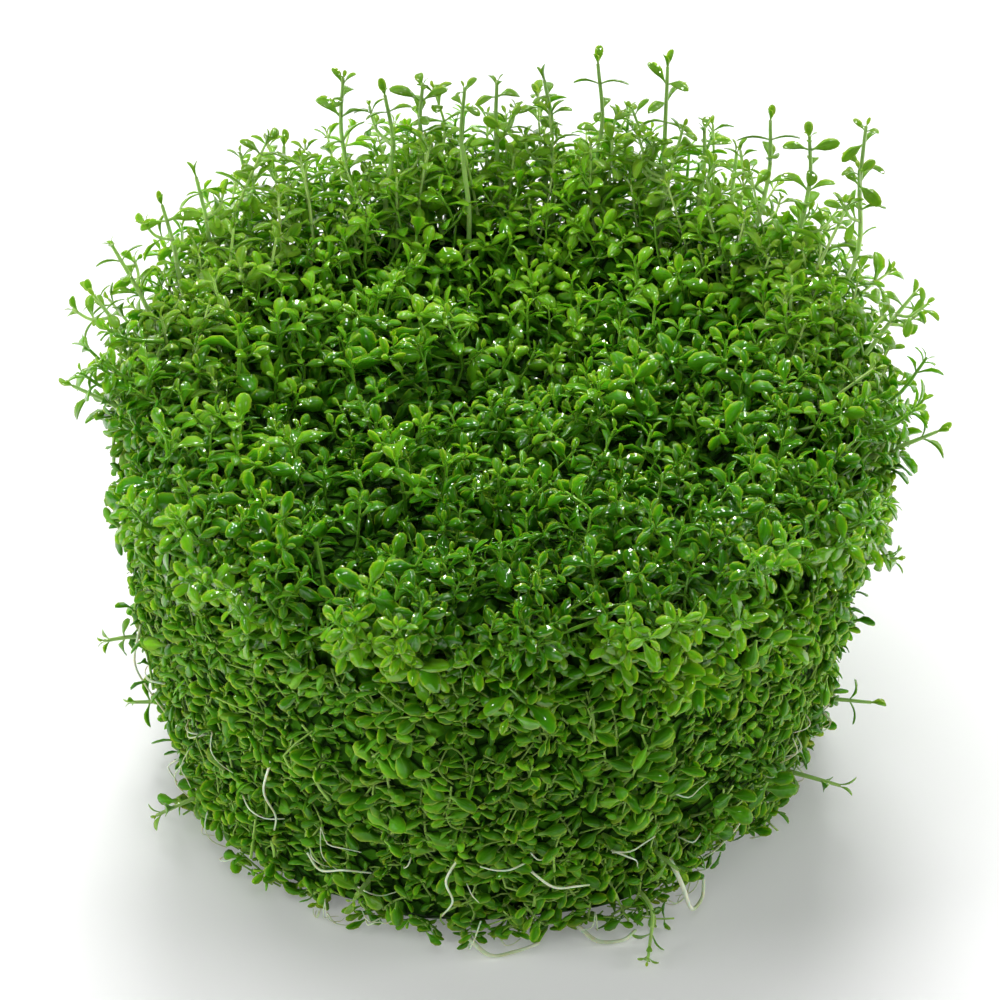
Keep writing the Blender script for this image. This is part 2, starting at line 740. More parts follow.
def spreadCells(mesh):
    # every leaf and stem gets its own square of the bake map
    faces = len(mesh.polygons)
    starts = np.zeros(faces, np.int32)
    totals = np.zeros(faces, np.int32)
    corners = np.zeros(len(mesh.loops), np.int32)
    mesh.polygons.foreach_get("loop_start", starts)
    mesh.polygons.foreach_get("loop_total", totals)
    mesh.loops.foreach_get("vertex_index", corners)
    low = np.minimum.reduceat(corners, starts)
    high = np.maximum.accumulate(np.maximum.reduceat(corners, starts))
    fresh = np.concatenate([[0], (low[1:] > high[:-1]).astype(int)])
    island = np.repeat(np.cumsum(fresh), totals)
    side = math.ceil(math.sqrt(island[-1] + 1))
    layer = mesh.uv_layers["OFBake"]
    uv = np.zeros(len(mesh.loops) * 2, np.float32)
    layer.data.foreach_get("uv", uv)
    uv = uv.reshape(-1, 2)
    cell = np.stack([island % side, island // side], axis=1)
    layer.data.foreach_set("uv", ((cell + uv) / side).astype(np.float32).ravel())
    return island[-1] + 1


floorRest = {
    "low": 0.06,     # how near the floor a leaf may come, in millimetres
    "mat": 1.2,      # from what height leaves of the mat are pressed
    "piece": 0.5,    # and those of a piece of its own
}


def restOnFloor(mesh, soft):
    # what would hang below the floor is pressed flat on it, smoothly, from a little above
    places = np.zeros(len(mesh.vertices) * 3, np.float32)
    mesh.vertices.foreach_get("co", places)
    places = places.reshape(-1, 3)
    z = places[:, 2] / mm
    low, under = floorRest["low"], z < soft
    z[under] = low + (soft - low) * np.exp((z[under] - soft) / (soft - low))
    places[:, 2] = z * mm
    mesh.vertices.foreach_set("co", places.ravel())
    mesh.update()


# Guide surfaces

wallShape = {
    # the wall stands back below a height, most on the right
    "tuck": 1.5,
    "tuckHeight": 30.0,
    "tuckRise": 12.0,
    # a notch in the foot, azimuth and half width in degrees
    "notch": 2.2,
    "notchAt": 317.0,
    "notchWidth": 11.0,
    "notchHeight": 9.0,
    # fuller places: azimuth, half width in degrees, how far out, height
    "swells": [(215.0, 28.0, 1.4, 22.0), (266.0, 24.0, 1.3, 8.0)],
    "lump": 0.5,
    # waves of the lumps: how many round the wall, pitch up it, start
    "lumpWaves": [(5, 0.21, 0.0), (11, -0.37, 2.0)],
    "meanRadius": 35.0,
}
# where the wall is less full: (azimuth, height), depth and half width
wallDents = [
    ((282.0, 33.0), 2.4, 4.5),
    ((266.0, 27.0), 1.2, 4.0),
    ((240.0, 26.0), 1.2, 4.0),
    ((308.0, 25.0), 1.4, 4.0),
    ((205.0, 24.0), 1.0, 4.0),
    ((340.0, 24.0), 1.0, 4.0),
    ((120.0, 28.0), 1.4, 5.0),
    ((60.0, 24.0), 1.4, 5.0),
]
guideSurface = {
    "rings": 24,
    "segments": 48,
    "crownFrom": 40,    # above this height it follows the crown's hollows, below it the wall's lumps
}


def outlinePoint(distance):
    # a point of the tip outline, counted along it from the foot
    for (r0, z0), (r1, z1) in zip(tipOutline, tipOutline[1:]):
        span = math.hypot(r1 - r0, z1 - z0)
        if distance <= span:
            break
        distance -= span
    share = min(distance / span, 1.0)
    return r0 + (r1 - r0) * share, z0 + (z1 - z0) * share


def footTuck(azimuth, z):
    # how far the wall stands back at an azimuth and a height
    degrees = math.degrees(azimuth) % 360
    shape = wallShape
    low = min(1.0, max(0.0, (shape["tuckHeight"] - z) / shape["tuckRise"]))
    tuck = shape["tuck"] * low * max(0.0, math.cos(azimuth))
    notch = math.exp(-((degrees - shape["notchAt"]) / shape["notchWidth"]) ** 2)
    tuck += shape["notch"] * notch * max(0.0, 1 - z / shape["notchHeight"])
    for at, width, reach, height in shape["swells"]:
        swell = math.exp(-((degrees - at) / width) ** 2)
        tuck -= reach * swell * max(0.0, 1 - z / height)
    return tuck


def wallLump(azimuth, z):
    waves = [math.sin(count * azimuth + z * pitch + start)
             for count, pitch, start in wallShape["lumpWaves"]]
    lump = wallShape["lump"] * sum(waves) / 2
    for (degrees, height), depth, width in wallDents:
        turn = (math.degrees(azimuth) - degrees + 180) % 360 - 180
        away = math.hypot(math.radians(turn) * wallShape["meanRadius"], z - height)
        lump -= depth * math.exp(-(away / width) ** 2)
    return lump


def outlineLength(height=None):
    total = 0.0
    for (r0, z0), (r1, z1) in zip(tipOutline, tipOutline[1:]):
        if height is not None and z1 > height:
            return total + math.hypot(r1 - r0, z1 - z0) * (height - z0) / (z1 - z0)
        total += math.hypot(r1 - r0, z1 - z0)
    return total


def turnedSurface(name, start, end, fromDegrees, toDegrees, inset):
    rings, segments, crownFrom = guideSurface["rings"], guideSurface["segments"], guideSurface["crownFrom"]
    verts, faces = [], []
    for i in range(rings + 1):
        r, z = outlinePoint(start + (end - start) * i / rings)
        for j in range(segments + 1):
            a = math.radians(fromDegrees + (toDegrees - fromDegrees) * j / segments)
            wide = r - inset - footTuck(a, z) + (wallLump(a, z) if z < crownFrom else 0.0)
            x, y = wide * math.cos(a), wide * math.sin(a)
            dip = hollowAt(x, y) if z > crownFrom else 0.0
            verts.append((x * mm, y * mm, (z - dip) * mm))
    row = segments + 1
    for i in range(rings):
        for j in range(segments):
            faces.append((i * row + j, i * row + j + 1, (i + 1) * row + j + 1, (i + 1) * row + j))
    mesh = bpy.data.meshes.new(name)
    mesh.from_pydata(verts, [], faces)
    return newObject(name, mesh)


# Materials

leafSkinRules = {
    # noises: scale and detail
    "patches": (160.0, 2.0),
    "regions": (48.0, 1.0),
    "grain": (2200.0, 3.0),
    "film": (1100.0, 2.0),
    # each shoot's own tint
    "tintMiddle": 0.4,
    "tintShare": 0.8,
    # what makes a leaf older: from and to of the noise or the place, and of the age that it adds
    "patchAge": (0.3, 0.7, -0.16, 0.16),
    "regionAge": (0.3, 0.7, -0.16, 0.16),
    "wallAge": (12 * mm, 34 * mm, 0.18, 0.02),    # low on the wall all are older
    "tipAge": (43 * mm, 52 * mm, 0.0, -0.2),      # what stands high or far back is fresher
    "backAge": (0.0, 26 * mm, 0.0, -0.42),
    # and on the crown older towards the front and the right
    "frontAge": (-30 * mm, -6 * mm, 0.36, 0.0),
    "rightAge": (8 * mm, 26 * mm, 0.0, 0.14),
    "crownHeight": (35 * mm, 40 * mm),
    "youngToGrown": (0.0, 0.45),
    "grownToOld": (0.45, 1.0),
    # middle rib, stalk and rim: from and to of the blade's own place
    "stemFrom": 1.5,
    "ribWidth": (0.0, 0.16, 1.0, 0.0),
    "ribLength": (0.0, 0.9, 1.0, 0.0),
    "ribColour": 0.35,
    "stalkLength": (0.02, 0.3, 0.75, 0.0),
    "rimWidth": (0.72, 0.98),
    "rimColour": 0.4,
    # light falls through the thin growth of the back rim, and the tallest tips are a little duller
    "backLift": (4 * mm, 24 * mm, 0.0, 0.38),
    "backLiftHeight": (46 * mm, 51 * mm, 1.0, 0.0),
    "tipLift": (47 * mm, 52 * mm, 1.0, 0.74),
    "speckle": (0.3, 0.7),
    "dryRoughness": (0.35, 0.65, 0.42, 0.58),
    "wetRoughness": 0.14,
    "filmEdge": (0.42, 0.50),
    "grainRelief": 0.5,
    "ribRelief": -0.4,
}


def leafSkinGroup():
    # colour, roughness, wet film and height of a leaf, from its age, its blade and where it stands
    tree = bpy.data.node_groups.new("leafSkin", "ShaderNodeTree")
    addSockets(tree, "INPUT", [("Young", "Color"), ("Grown", "Color"), ("Old", "Color"),
                               ("Stalk", "Color"), ("Mottle", "Float"), ("Wetness", "Float")])
    addSockets(tree, "OUTPUT", [("Colour", "Color"), ("Roughness", "Float"), ("Film", "Float"),
                                ("Height", "Float")])
    take = tree.nodes.new("NodeGroupInput").outputs
    result = tree.nodes.new("NodeGroupOutput").inputs
    rules = leafSkinRules

    def read(name, output):
        return out(put(tree, "ShaderNodeAttribute", attribute_name=name), output)

    def plus(a, b):
        return mathNode(tree, "ADD", a, b)

    def times(a, b):
        return mathNode(tree, "MULTIPLY", a, b)

    def ranged(value, rule):
        return mapRange(tree, value, *rules[rule])

    place = out(put(tree, "ShaderNodeTexCoord"), "Object")
    patches, regions, grain, film = (
        out(noiseAt(tree, place, *rules[noise])) for noise in ("patches", "regions", "grain", "film"))
    spot = put(tree, "ShaderNodeSeparateXYZ", {0: place})
    right, back, height = out(spot, "X"), out(spot, "Y"), out(spot, "Z")
    blade = put(tree, "ShaderNodeSeparateXYZ", {0: read("blade", "Vector")})
    across, along = mathNode(tree, "ABSOLUTE", out(blade, "X"), 0.0), out(blade, "Y")

    tint = mathNode(tree, "SUBTRACT", read("tint", "Fac"), rules["tintMiddle"])
    ageing = plus(read("age", "Fac"), times(tint, rules["tintShare"]))
    for value, rule in ((patches, "patchAge"), (regions, "regionAge"), (height, "wallAge"),
                        (height, "tipAge"), (back, "backAge")):
        ageing = plus(ageing, ranged(value, rule))
    side = plus(ranged(back, "frontAge"), ranged(right, "rightAge"))
    ageing = plus(ageing, times(side, ranged(height, "crownHeight")))
    colour = mixColour(tree, ranged(ageing, "youngToGrown"), take["Young"], take["Grown"])
    colour = mixColour(tree, ranged(ageing, "grownToOld"), colour, take["Old"])

    isStem = mathNode(tree, "GREATER_THAN", across, rules["stemFrom"])
    rib = times(ranged(across, "ribWidth"), ranged(along, "ribLength"))
    stalk = mathNode(tree, "MAXIMUM", isStem, ranged(along, "stalkLength"))
    rim = times(ranged(across, "rimWidth"), mathNode(tree, "SUBTRACT", 1.0, isStem))
    colour = mixColour(tree, times(rib, rules["ribColour"]), colour, take["Stalk"])
    colour = mixColour(tree, times(rim, rules["rimColour"]), colour, take["Young"])
    colour = mixColour(tree, stalk, colour, take["Stalk"])
    lift = times(ranged(back, "backLift"), ranged(height, "backLiftHeight"))
    lift = plus(lift, ranged(height, "tipLift"))
    colour = mixColour(tree, 1.0, colour, lift, "MULTIPLY")
    speckle = times(ranged(grain, "speckle"), take["Mottle"])
    colour = mixColour(tree, speckle, colour, (1.0, 1.0, 1.0, 1.0), "SOFT_LIGHT")
    wet = times(take["Wetness"], rules["wetRoughness"])
    rough = mathNode(tree, "SUBTRACT", ranged(grain, "dryRoughness"), wet)
    relief = plus(times(grain, rules["grainRelief"]), times(rib, rules["ribRelief"]))
    for label, value in (("Colour", colour), ("Roughness", rough), ("Film", ranged(film, "filmEdge")),
                         ("Height", relief)):
        tree.links.new(value, result[label])
    return tree


def newMaterial(name):
    material = bpy.data.materials.new(name)
    material.use_nodes = True
    return material, material.node_tree, material.node_tree.nodes["Principled BSDF"]


def setShader(tree, shader, values):
    for key, value in values.items():
        feed(tree, value, shader.inputs[key])


leafSkin = leafSkinGroup()

leafFinishes = {
    "crownLeaf": {
        "young": (0.130, 0.360, 0.007), "grown": (0.050, 0.230, 0.003), "old": (0.027, 0.155, 0.002),
        "stalk": (0.120, 0.300, 0.020), "mottle": 0.2, "wetness": 1.0, "bump": 0.3,
        "specular": 0.08, "wetCoat": 1.0,
    },
    "wallLeaf": {
        "young": (0.220, 0.540, 0.016), "grown": (0.086, 0.300, 0.008), "old": (0.032, 0.145, 0.003),
        "stalk": (0.250, 0.460, 0.080), "mottle": 0.3, "wetness": 0.4, "bump": 0.3,
        "specular": 0.04, "wetCoat": 0.35,
    },
    "shootLeaf": {
        "young": (0.135, 0.300, 0.013), "grown": (0.086, 0.238, 0.008), "old": (0.050, 0.185, 0.005),
        "stalk": (0.330, 0.520, 0.140), "mottle": 0.2, "wetness": 0.6, "bump": 0.3,
        "specular": 0.10, "wetCoat": 0.7,
    },
}
# what all leaves share: a crisp wet film over a slightly translucent blade
wetLeaf = {
    "bumpDepth": 0.1 * mm,
    "coatRoughness": 0.09,
    "coatIor": 1.7,
    "subsurface": 0.4,
    "subsurfaceRadius": (0.6, 1.0, 0.2),
    "subsurfaceScale": 0.8 * mm,
}


def makeLeafMaterial(name):
    finish = leafFinishes[name]
    material, tree, shader = newMaterial(name)
    colours = {label: (*finish[label.lower()], 1.0) for label in ("Young", "Grown", "Old", "Stalk")}
    skin = put(tree, "ShaderNodeGroup", {
        **colours, "Mottle": finish["mottle"], "Wetness": finish["wetness"]}, node_tree=leafSkin)
    bump = put(tree, "ShaderNodeBump", {
        "Strength": finish["bump"], "Distance": wetLeaf["bumpDepth"], "Height": out(skin, "Height")})
    setShader(tree, shader, {
        "Base Color": out(skin, "Colour"),
        "Roughness": out(skin, "Roughness"),
        "Normal": out(bump),
        "Specular IOR Level": finish["specular"],
        "Coat Weight": mathNode(tree, "MULTIPLY", out(skin, "Film"), finish["wetCoat"]),
        "Coat Roughness": wetLeaf["coatRoughness"],
        "Coat IOR": wetLeaf["coatIor"],
        "Subsurface Weight": wetLeaf["subsurface"],
        "Subsurface Radius": wetLeaf["subsurfaceRadius"],
        "Subsurface Scale": wetLeaf["subsurfaceScale"],
    })
    return material


tangleFinish = {
    "bend": (700.0, 1.0),             # noise that bends the cells: scale and detail
    "bendReach": 0.9 * mm,
    "cells": 560.0,
    "dark": (0.018, 0.080, 0.003, 1.0),
    "light": (0.060, 0.230, 0.006, 1.0),
    "gap": (0.008, 0.032, 0.001, 1.0),
    "gapWidth": (0.02, 0.22, 1.0, 0.0),
    "bevel": (0.0, 0.15),
    "bumpDepth": 0.8 * mm,
    "roughness": 0.6,
    "specular": 0.05,
}


def makeTangleMaterial():
    # the inside of the mat: packed old leaves, each with its own shade, dark between them
    finish = tangleFinish
    material, tree, shader = newMaterial("matTangle")
    place = out(put(tree, "ShaderNodeTexCoord"), "Object")
    bend = out(noiseAt(tree, place, *finish["bend"]), "Color")
    bend = vectorMath(tree, "SCALE", bend, scale=finish["bendReach"])
    bent = {"Vector": vectorMath(tree, "ADD", place, bend), "Scale": finish["cells"]}
    cells = put(tree, "ShaderNodeTexVoronoi", bent)
    edge = out(put(tree, "ShaderNodeTexVoronoi", bent, feature="DISTANCE_TO_EDGE"), "Distance")
    shade = out(put(tree, "ShaderNodeSeparateColor", {"Color": out(cells, "Color")}), "Red")
    colour = mixColour(tree, shade, finish["dark"], finish["light"])
    colour = mixColour(tree, mapRange(tree, edge, *finish["gapWidth"]), colour, finish["gap"])
    relief = mathNode(tree, "ADD", out(cells, "Distance"), mapRange(tree, edge, *finish["bevel"]))
    bump = put(tree, "ShaderNodeBump", {
        "Strength": 1.0, "Distance": finish["bumpDepth"], "Height": relief})
    setShader(tree, shader, {
        "Base Color": colour,
        "Normal": out(bump),
        "Roughness": finish["roughness"],
        "Specular IOR Level": finish["specular"],
    })
    return material


rootFinish = {
    "noise": (420.0, 2.0),
    "edges": (0.35, 0.65),
    "pale": (0.80, 0.88, 0.68, 1.0),
    "green": (0.52, 0.66, 0.36, 1.0),
    "roughness": 0.35,
    "subsurface": 0.3,
    "subsurfaceScale": 0.5 * mm,
}


def makeRootMaterial():
    finish = rootFinish
    material, tree, shader = newMaterial("rootSkin")
    place = out(put(tree, "ShaderNodeTexCoord"), "Object")
    patches = mapRange(tree, out(noiseAt(tree, place, *finish["noise"])), *finish["edges"])
    setShader(tree, shader, {
        "Base Color": mixColour(tree, patches, finish["pale"], finish["green"]),
        "Roughness": finish["roughness"],
        "Subsurface Weight": finish["subsurface"],
        "Subsurface Scale": finish["subsurfaceScale"],
    })
    return material


leafMaterials = {name: makeLeafMaterial(name) for name in leafFinishes}
tangleMaterial = makeTangleMaterial()
rootMaterial = makeRootMaterial()
print("materials made")


# The mat: a dark lumpy inside, and leaves scattered over crown, wall and underside

tangle = {
    "crownDepth": 7.4,
    "wallDepth": 1.9,
    "wallHeight": 30.0,
    "blend": 9.0,            # how far past the wall the crown's depth is reached
    "lumps": 0.8,
    "wallLumps": 0.3,
    "lumpWaves": 14,
    "lumpPitch": (0.15, 0.9),
    "lumpStart": (0, 6.28),
    "lumpShare": 4,
    "lookAhead": 0.5,
    "lowest": 0.3,
    "rings": 44,
    "segments": 120,
    "guideFrom": 31 * mm,    # above it the tangle is covered by old leaves
}


def makeTangle():
    rng = random.Random(seeds["tangle"])
    total, wallEnd = outlineLength(), outlineLength(tangle["wallHeight"])
    rings, segments, lowest = tangle["rings"], tangle["segments"], tangle["lowest"]
    verts, faces = [(0, 0, lowest * mm)], []
    waves = []
    for _ in range(tangle["lumpWaves"]):
        pitch = rng.uniform(*tangle["lumpPitch"])
        axis = Vector((rng.gauss(0, 1), rng.gauss(0, 1), rng.gauss(0, 1))).normalized()
        waves.append((pitch, axis, rng.uniform(*tangle["lumpStart"])))
    for i in range(rings + 1):
        distance = total * i / (rings + 1)
        r, z = outlinePoint(distance)
        share = min(max((distance - wallEnd) / tangle["blend"], 0.0), 1.0)
        depth = tangle["wallDepth"] + (tangle["crownDepth"] - tangle["wallDepth"]) * share
        ahead = outlinePoint(distance + tangle["lookAhead"])
        tangent = Vector((ahead[0] - r, ahead[1] - z)).normalized()
        for j in range(segments):
            a = 2 * math.pi * j / segments
            spot = Vector((r * math.cos(a), r * math.sin(a), z))
            lump = sum(math.sin(spot.dot(axis) * pitch + phase) for pitch, axis, phase in waves)
            d = depth + lump / tangle["lumpShare"] * tangle["lumps"] * (tangle["wallLumps"] + share)
            wide, high = r - tangent.y * d, max(lowest, z + tangent.x * d)
            wide += wallLump(a, z) * (1 - share) - footTuck(a, high)
            x, y = wide * math.cos(a), wide * math.sin(a)
            verts.append((x * mm, y * mm, (high - share * hollowAt(x, y)) * mm))
    verts.append((0, 0, verts[-1][2]))
    for j in range(segments):
        k = (j + 1) % segments
        faces.append((0, 1 + k, 1 + j))
        faces.append((1 + rings * segments + j, 1 + rings * segments + k, len(verts) - 1))
        for i in range(rings):
            base = 1 + i * segments
            faces.append((base + j, base + k, base + segments + k, base + segments + j))
    mesh = bpy.data.meshes.new("mat_tangle")
    mesh.from_pydata(verts, [], faces)
    mesh.shade_smooth()
    return newObject("mat_tangle", mesh, tangleMaterial)


def underGuide(mesh):
    # the upper side of the tangle alone
    shape = bmesh.new()
    shape.from_mesh(mesh)
    low = [face for face in shape.faces if face.calc_center_median().z < tangle["guideFrom"]]
    bmesh.ops.delete(shape, geom=low, context="FACES")
    upper = bpy.data.meshes.new("underGuide")
    shape.to_mesh(upper)
    shape.free()
    return newObject("underGuide", upper)


# Settings of the scattered layers, by the names of the node tree's inputs

crown = {
    "Spacing": 2.57 * mm,
    "Most": 400000.0,
    "Upright": 0.55,
    "Tilt": 0.6,
    "Smallest": 0.78,
    "Largest": 1.32,
    "Sink": 2.6 * mm,
    "Clump Size": 85.0,
    "Clump Depth": 1.6 * mm,
    "Crest": 3.5 * mm,
    "Drift": 1.2,
    "Spin": math.pi,
    "Ageing": 1.0,
}
# shoots with bare stems that stand higher round the back and the sides
backShoots = {
    "Spacing": 2.85 * mm,
    "Most": 300000.0,
    "Upright": 1.1,
    "Tilt": 0.4,
    "Smallest": 0.85,
    "Largest": 1.2,
    "Sink": 3.0 * mm,
    "Clump Size": 85.0,
    "Clump Depth": 1.5 * mm,
    "Crest": 10.0 * mm,
    "Drift": 1.0,
    "Spin": math.pi,
    "Ageing": 0.7,
}
# fresh shoots that lean out over the top of the wall
shoulderShoots = {
    "Spacing": 4.4 * mm,
    "Most": 200000.0,
    "Upright": 0.25,
    "Tilt": 0.45,
    "Smallest": 1.0,
    "Largest": 1.45,
    "Sink": 1.8 * mm,
    "Clump Size": 120.0,
    "Clump Depth": 2.4 * mm,
    "Drift": 1.2,
    "Spin": math.pi,
    "Ageing": 0.2,
}
# leafy tips caught between the pressed leaves
tucked = {
    "Spacing": 2.6 * mm,
    "Most": 400000.0,
    "Upright": 0.7,
    "Tilt": 0.8,
    "Smallest": 0.75,
    "Largest": 1.2,
    "Sink": 1.1 * mm,
    "Clump Size": 120.0,
    "Clump Depth": 1.0 * mm,
    "Drift": 1.2,
    "Spin": math.pi,
    "Ageing": 0.9,
}
pressed = {
    "Spacing": 2.6 * mm,
    "Most": 400000.0,
    "Tilt": 0.3,
    "Smallest": 0.75,
    "Largest": 1.1,
    "Sink": 0.6 * mm,
    "Clump Size": 150.0,
    "Clump Depth": 0.7 * mm,
    "Drift": 0.3,
    "Spin": 0.9,
    "Flatness": 0.9,
    "Ageing": 0.9,
}
under = {
    "Spacing": 1.9 * mm,
    "Most": 900000.0,
    "Tilt": 0.4,
    "Smallest": 0.8,
    "Largest": 1.2,
    "Sink": 0.4 * mm,
    "Clump Size": 150.0,
    "Clump Depth": 0.0,
    "Spin": math.pi,
    "Flatness": 1.0,
    "Ageing": 1.0,
}


def shootKinds(name, shoot):
    return collectKinds(name + "Kinds", [
        makeShootKind(f"{name}{number:02d}", shoot, seeds[name] + number)
        for number in range(shoot["kinds"])])


standingKinds = shootKinds("standing", standingShoot)
tuckedKinds = shootKinds("tucked", tuckedShoot)
leggyKinds = shootKinds("leggy", leggyShoot)
pressedKinds = collectKinds("pressedKinds", [
    makePressedKind(number) for number in range(pressedSprig["kinds"])])
underKinds = collectKinds("underKinds", [
    makeUnderKind(number) for number in range(underLeaves["kinds"])])
print("leaf kinds made")

standingTree = scatterTree("standingShoots", True)
pressedTree = scatterTree("pressedSprigs", False)
# where the crown's layers begin and end, in millimetres along the outline
wallTop = outlineLength(31.0)
outlineEnd = outlineLength()

# layer: (tree, settings, kinds, finish, from and to along the outline, inset)
layers = {
    "crown_leaves": (standingTree, crown, standingKinds, "crownLeaf", wallTop, outlineEnd, 0.0),
    "back_shoots": (standingTree, backShoots, leggyKinds, "shootLeaf", wallTop + 6, wallTop + 22, 0.0),
    "shoulder_shoots": (
        standingTree, shoulderShoots, standingKinds, "crownLeaf", wallTop, wallTop + 6, 0.0),
    "wall_tips": (standingTree, tucked, tuckedKinds, "wallLeaf", 1.0, wallTop + 2, 0.5),
    "wall_leaves": (pressedTree, pressed, pressedKinds, "wallLeaf", 0.8, wallTop + 1, 0.7),
}
# piece: (layer, from and to round the plug in degrees)
foliagePieces = {
    "crown_leaves_right": ("crown_leaves", -45, 45),
    "crown_leaves_back": ("crown_leaves", 45, 135),
    "crown_leaves_left": ("crown_leaves", 135, 225),
    "crown_leaves_front": ("crown_leaves", 225, 315),
    "back_shoots": ("back_shoots", -5, 185),
    "shoulder_shoots": ("shoulder_shoots", 0, 360),
    "wall_tips_front": ("wall_tips", 180, 360),
    "wall_tips_back": ("wall_tips", 0, 180),
    "wall_leaves_front": ("wall_leaves", 180, 360),
    "wall_leaves_back": ("wall_leaves", 0, 180),
}


def claim(piece, node):
    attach(piece, "root")
    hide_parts(node)


foliage = []
for number, (name, (layer, start, end)) in enumerate(foliagePieces.items()):
    tree, settings, kinds, finish, low, high, inset = layers[layer]
    guide = turnedSurface(name + "Guide", low, high, start, end, inset)
    foliage.append(runTree(name, guide, tree, {
        **settings, "Seed": seeds["layers"] + number * seeds["layerStep"], "Kinds": kinds,
        "Finish": leafMaterials[finish]}))
inside = makeTangle()
foliage.append(runTree("under_leaves", underGuide(inside.data), pressedTree, {
    **under, "Seed": seeds["underLayer"], "Kinds": underKinds, "Finish": leafMaterials["wallLeaf"]}))
for piece in foliage:
    restOnFloor(piece.data, floorRest["mat"])
    islands = spreadCells(piece.data)
    triangles = sum(len(p.vertices) - 2 for p in piece.data.polygons)
    print(piece.name, islands, "leaves and stems,", triangles, "triangles")
    claim(piece, "leaf_mat")
claim(inside, "leaf_mat")
print("mat made")


# Shoots, sprigs and roots that are nodes of their own, each grown along its own path

def outlineRadius(height):
    for (r0, z0), (r1, z1) in zip(tipOutline, tipOutline[1:]):
        if z0 <= height <= z1:
            return r0 + (r1 - r0) * (height - z0) / (z1 - z0)
    return tipOutline[0][0]


def onWall(azimuth, height, off):
    a = math.radians(azimuth)
    r = outlineRadius(height) - footTuck(a, height) + wallLump(a, height) + off
    return Vector((r * math.cos(a), r * math.sin(a), height))


ownShoot = {
    # the tip is either a closed bud or a small open star
    "bud": [(0.05, 1.7, 74, 0.05)],
    "star": [(0.1, 0.9, 58, 0.00), (0.5, 1.6, 36, 0.08)],
    "budShare": 0.45,
    "first": 2.0,       # where the spaced pairs begin below the tip
    "firstRange": (0.8, 1.1),
    "spacing": (1.7, 2.9),
    "leafSize": (2.1, 3.1),
    "rise": (-12, 34),
    "scatter": 14,
    "widthRange": (0.36, 0.50),
    "stem": 0.29,
    "stemTip": 0.17,
    "stemAge": 0.3,
}
# a twig on such a shoot: its length, its bends as (sideways, along), and its leaves
ownTwig = {
    "length": (2.5, 4.5),
    "start": (0.35, 0.8),      # as shares of the leafy reach, from the tip
    "bends": ((0.5, 0.25), (0.75, 0.75)),
    "taper": 0.8,
    "tipPairs": [(0.1, 1.0, 56, 0.05), (0.6, 1.9, 30, 0.15)],
    "lastPair": (2.2, 14, 0.35),
    "lastSize": (2.2, 2.8),
    "scatter": 16,
}


def growShoot(soup, points, seed, reach, size=1.0, ages=(0.15, 0.7), twigs=0):
    # reach is how far down from the tip leaves grow; points are in millimetres
    rng = random.Random(seed)
    own, widths = ownShoot, ownShoot["widthRange"]
    path = smoothPath([Vector(p) * mm for p in points], steps=6)
    frames = pathFrames(path)
    total = pathLength(path)
    addStem(soup, path, frames, own["stem"] * mm * size, own["stemTip"] * mm * size, own["stemAge"],
            sides=7)
    tip = own["bud" if rng.random() < own["budShare"] else "star"]
    pairs = [(below * size, length * size, rise, age, "fine") for below, length, rise, age in tip]
    below = own["first"] * size * rng.uniform(*own["firstRange"])
    while below < reach:
        length, rise = rng.uniform(*own["leafSize"]) * size, rng.uniform(*own["rise"])
        pairs.append((below, length, rise, ages[0] + (ages[1] - ages[0]) * below / reach, "fine"))
        below += rng.uniform(*own["spacing"]) * size
    addShootLeaves(soup, path, frames, pairs, rng, widths, own["scatter"])
    for _ in range(twigs):
        fromTip = rng.uniform(*ownTwig["start"]) * reach * mm
        start, tangent, side, other = frameAtLength(path, frames, total - fromTip)
        heading = rng.uniform(0, 2 * math.pi)
        sideways = side * math.cos(heading) + other * math.sin(heading)
        length = rng.uniform(*ownTwig["length"]) * mm
        bends = [start + (sideways * aside + tangent * ahead) * length for aside, ahead in ownTwig["bends"]]
        twig = smoothPath([start, *bends], steps=4)
        twigFrames = pathFrames(twig)
        thin = own["stemTip"]
        addStem(soup, twig, twigFrames, thin * mm, thin * ownTwig["taper"] * mm, own["stemAge"],
                sides=6)
        below, rise, age = ownTwig["lastPair"]
        twigPairs = [(*pair, "fine") for pair in ownTwig["tipPairs"]]
        twigPairs.append((below, rng.uniform(*ownTwig["lastSize"]), rise, age, "fine"))
        addShootLeaves(soup, twig, twigFrames, twigPairs, rng, widths, ownTwig["scatter"])


